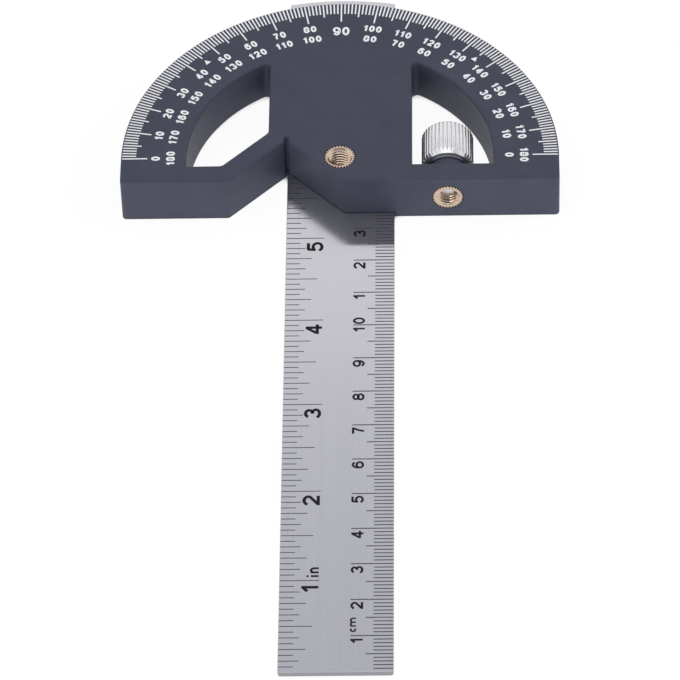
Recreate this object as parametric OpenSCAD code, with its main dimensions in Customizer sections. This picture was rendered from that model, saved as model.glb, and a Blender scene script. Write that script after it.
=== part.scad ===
// Angle ruler: a half-disc protractor head on a steel ruler that swings below it.
// Origin on the swing axis, in the plane that the tool rests on.
// +X to the right, +Y towards the rim of the protractor, +Z up.

/* [Protractor head] */
// Radius of the half-disc
head_r = 50.3; // [48:0.1:60]
// Height of the head above the surface that it rests on
head_h = 12.2; // [11:0.1:16]
// Distance from the swing axis to the front face
fence_y = 7.5; // [6.5:0.1:9]
// Thickness of the front bars
bar_t = 5.2; // [4:0.1:5.5]
// Width of the rim outside the windows
rim_w = 15.1; // [12:0.1:16]
// Width of the web between the two windows
web_w = 33; // [30:0.5:36]
// Radius of the windows' upper inner corners
window_corner_r = 1.2; // [0.8:0.1:3]
// Radius of the head's front corners
front_corner_r = 1; // [0.4:0.1:2.5]

/* [V notch] */
// Room left between the notch's left flank and the ruler at 45 degrees
stop_room = 0.45; // [0.3:0.05:1]
// Wall between the notch's left flank and the left window
flank_wall = 4.7; // [3:0.1:5]
// Width of the relief groove at the bottom of the notch
relief_w = 1; // [0.6:0.1:1.6]
// Depth of the relief groove past the bottom of the notch
relief_depth = 0.8; // [0.5:0.1:1.5]

/* [Steel ruler] */
// Width of the ruler
ruler_w = 24.8; // [22:0.1:28]
// Thickness of the ruler
ruler_t = 1.2; // [1:0.1:2]
// Distance from the swing axis to the ruler's straight end
ruler_reach = 142.3; // [100:0.1:300]
// How far the ruler's round end stands out past the rim
tail_overhang = 12.2; // [4:0.1:20]
// Radius of the ruler's corners
ruler_corner_r = 0.6; // [0.3:0.1:3]

/* [Thread inserts] */
// Outer diameter of the brass inserts
insert_d = 7.2; // [6.4:0.1:8]
// Width of the groove round the middle of an insert
insert_groove_w = 1.6; // [0.8:0.1:2.4]
// Depth of the groove round the middle of an insert
insert_groove_depth = 0.4; // [0.2:0.05:0.6]
// Chamfer at the mouth of an insert
insert_chamfer = 0.4; // [0.2:0.05:0.6]
// Nominal diameter of the thread
thread_d = 5; // [4:0.1:5.4]
// Depth of the thread's groove, from nominal to core
thread_depth = 0.4; // [0.3:0.05:0.5]

/* [Pivot] */
// Thickness of the friction washer
pivot_washer_t = 0.75; // [0.5:0.05:1.2]
// Outer diameter of the friction washer
pivot_washer_d = 8.2; // [8:0.1:8.8]
// Length of the pivot screw inside its insert
pivot_screw_grip = 5.8; // [4:0.1:6.5]
// Width across the flats of the pivot screw's hexagon socket
pivot_socket_af = 3; // [2:0.1:3.5]
// Depth of the pivot screw's hexagon socket
pivot_socket_depth = 1.6; // [1:0.1:2.5]

/* [Thumbscrew] */
// Diameter of the knob over its knurl
knob_d = 12; // [10.5:0.1:13]
// Length of the knob
knob_len = 10.1; // [6:0.1:10.5]
// Number of knurl ribs round the knob
knob_ribs = 36; // [24:1:48]
// Depth of the knurl
knurl_depth = 0.4; // [0.2:0.05:0.7]
// Chamfer at both ends of the knob
knob_chamfer = 0.6; // [0.3:0.05:1]
// Diameter of the shallow dish in the knob's free end
knob_dish_d = 8; // [6:0.1:9]
// Depth of the shallow dish in the knob's free end
knob_dish_depth = 0.5; // [0.2:0.1:1]
// Space between the knob and the web beside it
knob_side_space = 2.2; // [1.5:0.1:3]
// Space between the knob and the surface that the tool rests on
knob_floor_space = 0.1; // [0.1:0.05:0.5]
// Space that the head keeps clear round the knob
knob_clear = 0.8; // [0.5:0.1:1.4]
// How far the thumbscrew backs out of its insert
screw_travel = 2.4; // [0.8:0.1:3]
// Diameter of the boss behind the bar
boss_d = 9.3; // [8.6:0.1:11]
// Length of the boss behind the bar
boss_len = 2.9; // [2:0.1:4]
// Diameter of the washer under the knob
washer_d = 10; // [8:0.1:11]
// Thickness of the washer under the knob
washer_t = 0.9; // [0.6:0.1:1.5]
// Distance from the front face to the tip of the stud
stud_tip_depth = 2; // [1:0.1:3.5]
// Length of the stud inside the knob
stud_hold = 6; // [3:0.1:6.5]

/* [Clearances] */
// Space between the ruler and the head above it
swing_gap = 0.2; // [0.15:0.05:0.5]
// Space between the ruler and the lips beside it
lip_gap = 0.15; // [0.1:0.05:0.5]
// Clearance of a turning fit, on the radius
run_fit = 0.05; // [0.03:0.01:0.1]
// Clearance of a pressed or moulded-in fit, on the radius
press_fit = 0.02; // [0.01:0.01:0.03]
// Clearance of a loose washer, on the radius
loose_fit = 0.2; // [0.1:0.05:0.4]

/* [Hidden] */
$fn = 96;
// Overlap that lets cuts run past a face
past = 1;
// Underside of the half-disc, above the swinging ruler
under_z = ruler_t + swing_gap;
// Face that the friction washer and the pivot insert share
seat_z = ruler_t + run_fit + pivot_washer_t;
// Windows
window_r = head_r - rim_w;
bar_back_y = bar_t - fence_y;
// The notch is centred on the ruler's left edge, and its left flank stops the ruler at 45 degrees
notch_x = -ruler_w / 2;
notch_y = (ruler_w / 2 + stop_room) * sqrt(2) - ruler_w / 2;
notch_depth = notch_y + fence_y;
// Threads: the core is what a free thread leaves open
shank_r = thread_d / 2 - run_fit;
core_r = thread_d / 2 - thread_depth;
// Pivot screw: a cone of 90 degrees from its shank down to the ruler's underside
cone_top_z = seat_z - 2 * run_fit;
cone_low_z = run_fit;
cone_r = shank_r + cone_top_z - cone_low_z;
pivot_tip_z = seat_z + pivot_screw_grip;
// Thumbscrew axis and the faces along it
screw_x = web_w / 2 + knob_side_space + knob_d / 2;
screw_z = knob_d / 2 + knob_floor_space;
boss_end_y = bar_back_y + boss_len;
washer_y = boss_end_y + run_fit;
knob_y = washer_y + washer_t + run_fit;
stud_tip_y = stud_tip_depth - fence_y;

// Puts a shape that stands on the XY plane along +Y, on the thumbscrew's axis
module on_screw_axis(y) {
  translate([screw_x, y, screw_z]) rotate([-90, 0, 0]) children();
}

// Half-disc with its short straight sides and rounded front corners
module head_outline() {
  inner_w = 2 * (head_r - front_corner_r);
  intersection() {
    circle(r = head_r);
    translate([-head_r, 0]) square([2 * head_r, head_r]);
  }
  translate([-head_r, front_corner_r - fence_y]) square([2 * head_r, fence_y - front_corner_r]);
  translate([-inner_w / 2, -fence_y]) square([inner_w, fence_y]);
  for (side = [-1, 1])
    translate([side * inner_w / 2, front_corner_r - fence_y]) circle(r = front_corner_r);
}

// Corner that the right window's upper fillet leaves standing
module window_fillet() {
  centre_x = web_w / 2 + window_corner_r;
  centre_y = sqrt(pow(window_r - window_corner_r, 2) - pow(centre_x, 2));
  outward = (window_r + past) / (window_r - window_corner_r);
  difference() {
    polygon([[centre_x, centre_y],
             [centre_x * outward, centre_y * outward],
             [web_w / 2 - past, window_r],
             [web_w / 2 - past, centre_y]]);
    translate([centre_x, centre_y]) circle(r = window_corner_r);
  }
}

// Right window, between the web, the rim and the front bar
module window_plan() {
  difference() {
    intersection() {
      circle(r = window_r);
      translate([web_w / 2, bar_back_y]) square([window_r, window_r - bar_back_y]);
    }
    window_fillet();
  }
}

// Strip along the notch's left flank, from the flank outwards by the given width, carried on past its bottom
module flank_strip(width) {
  run = notch_depth + head_r;
  translate([notch_x, notch_y]) rotate(135) translate([0, -width]) square([width, run + width]);
}

// Left window, cut short by the wall along the notch
module left_window_plan() {
  difference() {
    mirror([1, 0]) window_plan();
    translate([notch_x, notch_y]) rotate(45) translate([-head_r, -head_r])
      square([2 * head_r, head_r + flank_wall]);
  }
}

// V notch of 90 degrees with a relief groove at its bottom
module notch_plan() {
  mouth = notch_depth + past;
  polygon([[notch_x, notch_y], [notch_x - mouth, notch_y - mouth], [notch_x + mouth, notch_y - mouth]]);
  groove_top = notch_y + relief_depth - relief_w / 2;
  translate([notch_x - relief_w / 2, notch_y - relief_w]) square([relief_w, groove_top - notch_y + relief_w]);
  translate([notch_x, groove_top]) circle(d = relief_w);
}

// Plan of the whole head
module head_plan() {
  difference() {
    head_outline();
    window_plan();
    left_window_plan();
    notch_plan();
  }
}

// Plan of the lips that reach down beside the ruler: the front bars and the wall along the notch.
// They leave room for the ruler at both ends of its swing, square to the front face and at 45 degrees.
module lip_plan() {
  slot_w = ruler_w + 2 * lip_gap;
  difference() {
    intersection() {
      head_plan();
      union() {
        translate([-head_r - past, -fence_y - past]) square([2 * (head_r + past), bar_t + past]);
        flank_strip(flank_wall);
      }
    }
    for (turn = [0, -45])
      rotate(turn) translate([-slot_w / 2, -fence_y - past]) square([slot_w, head_r]);
  }
}

module protractor_head() {
  color([0.29, 0.30, 0.35]) difference() {
    union() {
      translate([0, 0, under_z]) linear_extrude(head_h - under_z) head_plan();
      linear_extrude(under_z + past) lip_plan();
      on_screw_axis(bar_back_y - past) cylinder(d = boss_d, h = boss_len + past);
    }
    translate([0, 0, under_z - past])
      cylinder(d = pivot_washer_d + 2 * loose_fit, h = seat_z - under_z + past);
    translate([0, 0, under_z]) cylinder(d = insert_d + 2 * press_fit, h = head_h);
    on_screw_axis(-fence_y - past) cylinder(d = insert_d + 2 * press_fit, h = bar_t + boss_len + 2 * past);
    on_screw_axis(knob_y) cylinder(d = knob_d + 2 * knob_clear, h = knob_len + screw_travel + knob_clear);
  }
}

// Brass insert standing on z = 0 with its free mouth at the top and a screw let in to the given height
module thread_insert(length, screw_height) {
  outer_r = insert_d / 2;
  groove_low = (length - insert_groove_w) / 2;
  groove_r = outer_r - insert_groove_depth;
  screw_r = shank_r + run_fit;
  color([0.80, 0.66, 0.45]) rotate_extrude()
    polygon([[screw_r, 0], [outer_r, 0], [outer_r, groove_low], [groove_r, groove_low],
             [groove_r, groove_low + insert_groove_w], [outer_r, groove_low + insert_groove_w],
             [outer_r, length], [core_r + insert_chamfer, length], [core_r, length - insert_chamfer],
             [core_r, screw_height], [screw_r, screw_height]]);
}

module pivot_insert() {
  translate([0, 0, seat_z]) thread_insert(head_h - seat_z, pivot_screw_grip + loose_fit);
}

module fence_insert() {
  length = bar_t + boss_len;
  translate([screw_x, boss_end_y, screw_z]) rotate([90, 0, 0])
    thread_insert(length, length - stud_tip_depth + loose_fit);
}

module pivot_screw() {
  socket_r = pivot_socket_af / 2 / cos(30);
  tip_chamfer = thread_depth;
  color([0.62, 0.62, 0.64]) difference() {
    rotate_extrude()
      polygon([[0, cone_low_z], [cone_r, cone_low_z], [shank_r, cone_top_z],
               [shank_r, pivot_tip_z - tip_chamfer], [shank_r - tip_chamfer, pivot_tip_z], [0, pivot_tip_z]]);
    translate([0, 0, cone_low_z - past]) cylinder(r = socket_r, h = pivot_socket_depth + past, $fn = 6);
  }
}

module pivot_washer() {
  bore_r = cone_r - (ruler_t - cone_low_z) + loose_fit;
  color([0.92, 0.91, 0.88]) translate([0, 0, seat_z - pivot_washer_t]) difference() {
    cylinder(d = pivot_washer_d, h = pivot_washer_t);
    translate([0, 0, -past]) cylinder(r = bore_r, h = pivot_washer_t + 2 * past);
  }
}

// Strip with a straight near end, rounded corners and a far end that is round about the swing axis
module ruler_plan() {
  tail_r = head_r + tail_overhang;
  inner_w = ruler_w - 2 * ruler_corner_r;
  intersection() {
    circle(r = tail_r, $fn = 360);
    translate([-ruler_w / 2, 0]) square([ruler_w, tail_r]);
  }
  translate([-ruler_w / 2, ruler_corner_r - ruler_reach]) square([ruler_w, ruler_reach - ruler_corner_r]);
  translate([-inner_w / 2, -ruler_reach]) square([inner_w, ruler_reach]);
  for (side = [-1, 1])
    translate([side * inner_w / 2, ruler_corner_r - ruler_reach]) circle(r = ruler_corner_r);
}

module steel_ruler() {
  sink_r = cone_r + cone_low_z + run_fit;
  color([0.72, 0.72, 0.75]) difference() {
    linear_extrude(ruler_t) ruler_plan();
    translate([0, 0, -past])
      cylinder(r1 = sink_r + past, r2 = sink_r - ruler_t - past, h = ruler_t + 2 * past);
  }
}

module thumbscrew_washer() {
  color([0.45, 0.46, 0.49]) on_screw_axis(washer_y) difference() {
    cylinder(d = washer_d, h = washer_t);
    translate([0, 0, -past]) cylinder(r = shank_r + loose_fit, h = washer_t + 2 * past);
  }
}

// Outline of the knurl: ribs with straight flanks
module knurl_plan() {
  step = 360 / knob_ribs;
  tip_r = knob_d / 2;
  root_r = tip_r - knurl_depth;
  polygon([for (rib = [0 : knob_ribs - 1], half = [0, 1])
             let (r = half == 0 ? tip_r : root_r, turn = (rib + half / 2) * step)
             [r * cos(turn), r * sin(turn)]]);
}

module thumbscrew_knob() {
  end_r = knob_d / 2 - knob_chamfer;
  cone_h = knob_chamfer + past;
  color([0.83, 0.83, 0.85]) on_screw_axis(knob_y) difference() {
    intersection() {
      linear_extrude(knob_len) knurl_plan();
      rotate_extrude()
        polygon([[0, 0], [end_r, 0], [end_r + cone_h, cone_h], [end_r + cone_h, knob_len - cone_h],
                 [end_r, knob_len], [0, knob_len]]);
    }
    translate([0, 0, -past]) cylinder(r = shank_r + press_fit, h = stud_hold + past);
    translate([0, 0, knob_len - knob_dish_depth]) cylinder(d = knob_dish_d, h = knob_dish_depth + past);
  }
}

module thumbscrew_stud() {
  tip_chamfer = thread_depth;
  length = knob_y + stud_hold - stud_tip_y;
  color([0.78, 0.78, 0.80]) on_screw_axis(stud_tip_y) rotate_extrude()
    polygon([[0, 0], [shank_r - tip_chamfer, 0], [shank_r, tip_chamfer], [shank_r, length], [0, length]]);
}

protractor_head();
pivot_insert();
fence_insert();
pivot_screw();
pivot_washer();
steel_ruler();
thumbscrew_washer();
thumbscrew_knob();
thumbscrew_stud();
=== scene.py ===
"""Angle ruler: the looks of every piece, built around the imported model.

Lengths are in metres, and millimetre sizes are written as a number times MM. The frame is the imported
model's own: the swing axis runs through the origin, +Y points to the protractor's rim and +Z is up.
"""

from __future__ import annotations

import logging
import math
from abc import ABC, abstractmethod
from collections import Counter
from collections.abc import Callable, Iterable
from dataclasses import dataclass
from enum import Enum
from typing import Any

import bmesh
import bpy
from mathutils import Matrix, Vector

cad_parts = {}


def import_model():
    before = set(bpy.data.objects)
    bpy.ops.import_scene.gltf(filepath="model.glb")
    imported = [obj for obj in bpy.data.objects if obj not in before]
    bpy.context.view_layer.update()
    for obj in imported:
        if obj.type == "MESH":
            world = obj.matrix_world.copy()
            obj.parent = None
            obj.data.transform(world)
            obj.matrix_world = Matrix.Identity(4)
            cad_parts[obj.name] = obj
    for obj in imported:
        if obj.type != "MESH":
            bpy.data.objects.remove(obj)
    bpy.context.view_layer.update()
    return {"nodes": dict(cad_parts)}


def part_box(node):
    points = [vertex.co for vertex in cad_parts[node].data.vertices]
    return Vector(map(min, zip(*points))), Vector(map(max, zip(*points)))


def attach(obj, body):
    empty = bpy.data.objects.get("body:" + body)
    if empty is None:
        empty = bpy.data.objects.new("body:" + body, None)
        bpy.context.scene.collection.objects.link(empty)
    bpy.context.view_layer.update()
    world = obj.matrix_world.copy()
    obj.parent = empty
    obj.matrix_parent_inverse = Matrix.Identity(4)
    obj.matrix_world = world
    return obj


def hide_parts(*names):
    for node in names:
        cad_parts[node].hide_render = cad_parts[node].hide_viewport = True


LOG = logging.getLogger("angle_ruler")

MM = 0.001
CM = 10.0 * MM
INCH = 25.4 * MM
MICRON = 0.001 * MM
FULL_TURN = 2.0 * math.pi
MERGE_DISTANCE = 1e-7
NODE_MERGE_DISTANCE = 1e-6
COUNT_EASE = 0.001

Colour = tuple[float, float, float]
Point = tuple[float, float]
Span = tuple[float, float]
Reach = float | Callable[[float], float]
Reaches = tuple[tuple[int, float], ...]
Edges = list[bmesh.types.BMEdge]

UNIT: Span = (0.0, 1.0)
WHITE: Colour = (1.0, 1.0, 1.0)
CENTRE = Vector((0.0, 0.0, 0.0))
UP = Vector((0.0, 0.0, 1.0))
TO_RIM = Vector((0.0, 1.0, 0.0))


def opaque(colour: Colour) -> tuple[float, float, float, float]:
    """Returns a colour with full alpha."""
    return (*colour, 1.0)


def add_object(name: str, data: bpy.types.ID) -> bpy.types.Object:
    """Adds an object to the scene.

    Args:
        name: The object's name.
        data: Its mesh, curve, lamp or camera.

    Returns:
        The object.
    """
    made = bpy.data.objects.new(name, data)
    bpy.context.scene.collection.objects.link(made)
    return made


# Camera and studio


@dataclass(frozen=True)
class PhotoCamera:
    """Camera at the photograph's viewing angle, fitted to the tool's own graduations."""

    azimuth_deg: float = 2.063
    elevation_deg: float = 47.771
    roll_deg: float = -2.141
    distance: float = 1184.401 * MM
    target: tuple[float, float, float] = (0.133 * MM, -45.754 * MM, 0.0)
    focal_px: float = 5257.884
    image_px: int = 680
    sensor_width: float = 36.0
    clip: Span = (0.05, 20.0)

    def backward(self) -> Vector:
        """Works out the direction in which the camera stands.

        Returns:
            The unit vector from the target to the camera.
        """
        azimuth = math.radians(self.azimuth_deg)
        elevation = math.radians(self.elevation_deg)
        level = math.cos(elevation)
        return Vector((math.sin(azimuth) * level, -math.cos(azimuth) * level, math.sin(elevation)))

    def build(self) -> None:
        """Makes the camera and sets it as the scene's own."""
        back = self.backward()
        level_right = (-back).cross(UP).normalized()
        level_up = level_right.cross(-back)
        roll = math.radians(self.roll_deg)
        right = math.cos(roll) * level_right + math.sin(roll) * level_up
        up = math.cos(roll) * level_up - math.sin(roll) * level_right
        data = bpy.data.cameras.new("photo_camera")
        data.sensor_width = self.sensor_width
        data.lens = self.focal_px / self.image_px * self.sensor_width
        data.clip_start, data.clip_end = self.clip
        camera = add_object("photo_camera", data)
        turned = Matrix((right, up, back)).transposed().to_4x4()
        camera.matrix_world = Matrix.Translation(Vector(self.target) + back * self.distance) @ turned
        bpy.context.scene.camera = camera


class NodeSheet:
    """A shader node tree with short ways to add and join nodes.

    A value is a number, a colour or a vector, or else the output socket that gives it. A Mix node repeats
    its sockets for each kind of value, so they are picked by number.
    """

    def __init__(self, tree: bpy.types.NodeTree) -> None:
        """Empties the tree that the sheet fills."""
        self.tree = tree
        self.tree.nodes.clear()

    def add(self, kind: str, values: dict[Any, Any] | None = None, **settings: Any) -> bpy.types.Node:
        """Adds a node.

        Args:
            kind: The node's type name without its ShaderNode prefix.
            values: Values for the node's inputs, by the input's name or number.
            **settings: Properties of the node.

        Returns:
            The new node.
        """
        node = self.tree.nodes.new("ShaderNode" + kind)
        for name, setting in settings.items():
            setattr(node, name, setting)
        for name, value in (values or {}).items():
            if isinstance(value, bpy.types.NodeSocket):
                self.tree.links.new(value, node.inputs[name])
            else:
                node.inputs[name].default_value = value
        return node

    def math(self, operation: str, *values: Any, clamp: bool = False) -> bpy.types.NodeSocket:
        """Returns a Math node's result over the values, held between 0 and 1 where it is clamped."""
        inputs = dict(enumerate(values))
        return self.add("Math", inputs, operation=operation, use_clamp=clamp).outputs[0]

    def ramp(self, value: Any, span: Span, results: Span = UNIT) -> bpy.types.NodeSocket:
        """Adds a smooth Map Range node.

        Args:
            value: The value to map.
            span: The values at which the ramp starts and ends.
            results: The results at the ramp's start and end.

        Returns:
            The node's output.
        """
        low, high = span
        first, last = results
        values = {"Value": value, "From Min": low, "From Max": high, "To Min": first, "To Max": last}
        return self.add("MapRange", values, interpolation_type="SMOOTHSTEP").outputs["Result"]

    def blend(self, factor: Any, first: Any, second: Any) -> bpy.types.NodeSocket:
        """Returns a Mix node's colour, in which the factor is the second colour's share."""
        return self.add("Mix", {0: factor, 6: first, 7: second}, data_type="RGBA").outputs[2]

    def mix(self, factor: Any, first: Any, second: Any) -> bpy.types.NodeSocket:
        """Returns a Mix node's number, in which the factor is the second number's share."""
        return self.add("Mix", {0: factor, 2: first, 3: second}, data_type="FLOAT").outputs[0]

    def bump(self, height: Any, depth: float) -> bpy.types.NodeSocket:
        """Returns a Bump node's normal, for a height that is as deep as the depth where it is 1."""
        return self.add("Bump", {"Strength": 1.0, "Distance": depth, "Height": height}).outputs[0]

    def background_rays(self) -> tuple[bpy.types.NodeSocket, bpy.types.NodeSocket]:
        """Adds a Light Path node.

        Returns:
            One output that is 1 for camera rays, and one that is 1 for camera, glossy and transmission rays.
        """
        rays = self.add("LightPath").outputs
        shiny = self.math("MAXIMUM", rays["Is Glossy Ray"], rays["Is Transmission Ray"])
        return rays["Is Camera Ray"], self.math("MAXIMUM", rays["Is Camera Ray"], shiny)


@dataclass(frozen=True)
class Softbox:
    """A soft rectangular lamp that points at the tool."""

    name: str
    place: tuple[float, float, float]
    size: Span
    watts: float
    in_reflections: bool = True

    def build(self, aim: Vector) -> None:
        """Makes the lamp.

        Args:
            aim: The point that the lamp faces.
        """
        data = bpy.data.lights.new(self.name, "AREA")
        data.shape = "RECTANGLE"
        data.size, data.size_y = self.size
        data.energy = self.watts
        lamp = add_object(self.name, data)
        lamp.visible_glossy = self.in_reflections
        lamp.location = self.place
        lamp.rotation_euler = (aim - Vector(self.place)).to_track_quat("-Z", "Y").to_euler()


@dataclass(frozen=True)
class Studio:
    """White table under a soft white dome that is dark round the camera, with three softboxes."""

    camera: PhotoCamera
    table_size: float = 8.0
    table_drop: float = 0.05 * MM
    table_colour: Colour = (0.86, 0.86, 0.865)
    table_shadow: float = 0.10
    table_glow: float = 0.95
    seen_glow: float = 0.36
    contact_reach: float = 2.4 * MM
    contact_samples: int = 12
    contact_openness: Span = (0.28, 0.44)
    # Painted shade: the dark colour the table takes under the tool, where ambient occlusion hems it in.
    contact_colour: Colour = (0.16, 0.165, 0.20)
    dome_level: float = 0.70
    opening_cosines: Span = (0.5, 0.86)
    opening_light: float = 0.6
    opening_shine: float = 0.42
    wall_top_deg: Span = (47.6, 48.2)
    ceiling_top_deg: float = 53.0
    ceiling_shine: Span = (0.75, 0.63)
    ceiling_tint: Colour = (0.92, 0.945, 1.0)
    softboxes: tuple[Softbox, ...] = (
        Softbox("overhead_softbox", place=(-0.10, -0.14, 1.0), size=(1.0, 0.80), watts=2.6),
        Softbox(
            "side_softbox", place=(0.75, 0.10, 0.55), size=(0.30, 0.40), watts=1.6, in_reflections=False
        ),
        Softbox("front_softbox", place=(-0.55, -0.95, 0.30), size=(0.50, 0.30), watts=1.4),
    )

    def build(self) -> None:
        """Makes the table, the dome and the lamps."""
        bpy.context.scene.view_settings.view_transform = "Standard"
        self._build_table()
        self._build_dome()
        for softbox in self.softboxes:
            softbox.build(Vector(self.camera.target))

    def _build_table(self) -> None:
        """Makes the table, a little under the tool's own resting plane."""
        bm = bmesh.new()
        bmesh.ops.create_grid(bm, x_segments=1, y_segments=1, size=self.table_size / 2)
        bmesh.ops.translate(bm, verts=bm.verts, vec=-UP * self.table_drop)
        mesh = bpy.data.meshes.new("table")
        bm.to_mesh(mesh)
        bm.free()
        mesh.materials.append(self._table_material())
        table = add_object("table", mesh)

    def _table_material(self) -> bpy.types.Material:
        """Makes a pale material that shows white and keeps a soft share of the shadows.

        Under the tool, where little of the room is in view, the table's colour is blended to a painted shade.

        Returns:
            The material.
        """
        material = bpy.data.materials.new("white_table")
        material.use_nodes = True
        sheet = NodeSheet(material.node_tree)
        _, seen = sheet.background_rays()
        around = sheet.add("AmbientOcclusion", {"Distance": self.contact_reach}, samples=self.contact_samples)
        # Painted shade: by this occlusion mask the table's colour turns dark and its white and seen glow
        # fade.
        openness = sheet.ramp(around.outputs["AO"], self.contact_openness)
        share = sheet.math("MULTIPLY", sheet.math("MULTIPLY", seen, openness), 1.0 - self.table_shadow)
        matte_colour = sheet.blend(openness, opaque(self.contact_colour), opaque(self.table_colour))
        matte = sheet.add("BsdfDiffuse", {"Color": matte_colour})
        bounce = sheet.mix(seen, self.table_glow, sheet.math("MULTIPLY", openness, self.seen_glow))
        glow = sheet.add("Emission", {"Color": opaque(self.table_colour), "Strength": bounce})
        lit = sheet.add("AddShader", {0: matte.outputs[0], 1: glow.outputs[0]})
        white = sheet.add("Emission", {"Color": opaque(WHITE), "Strength": 1.0})
        mixed = sheet.add("MixShader", {0: share, 1: lit.outputs[0], 2: white.outputs[0]})
        sheet.add("OutputMaterial", {"Surface": mixed.outputs[0]})
        return material

    def _build_dome(self) -> None:
        """Makes the world: white to the camera, and a wall, a dimmer ceiling and an opening to the tool."""
        world = bpy.data.worlds.new("studio_dome")
        world.use_nodes = True
        bpy.context.scene.world = world
        sheet = NodeSheet(world.node_tree)
        seen_by_camera, seen = sheet.background_rays()
        towards = sheet.add("TexCoord").outputs["Generated"]
        facing = sheet.add("VectorMath", {0: towards, 1: self.camera.backward()}, operation="DOT_PRODUCT")
        opening = sheet.ramp(facing.outputs["Value"], self.opening_cosines)
        height = sheet.add("SeparateXYZ", {0: towards}).outputs["Z"]
        wall_low, wall_top, ceiling_top = (
            math.sin(math.radians(angle)) for angle in (*self.wall_top_deg, self.ceiling_top_deg)
        )
        above = sheet.ramp(height, (wall_low, wall_top))
        ceiling = sheet.ramp(height, (wall_top, ceiling_top), self.ceiling_shine)
        shine = sheet.mix(opening, sheet.mix(above, 1.0, ceiling), self.opening_shine)
        light = sheet.mix(opening, self.dome_level, self.dome_level * self.opening_light)
        strength = sheet.mix(seen_by_camera, sheet.mix(seen, light, shine), 1.0)
        tint = sheet.math("MULTIPLY", above, sheet.math("SUBTRACT", 1.0, seen_by_camera))
        colour = sheet.blend(tint, opaque(WHITE), opaque(self.ceiling_tint))
        background = sheet.add("Background", {"Color": colour, "Strength": strength})
        sheet.add("OutputWorld", {"Surface": background.outputs[0]})


# Effects that several finishes share


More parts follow.
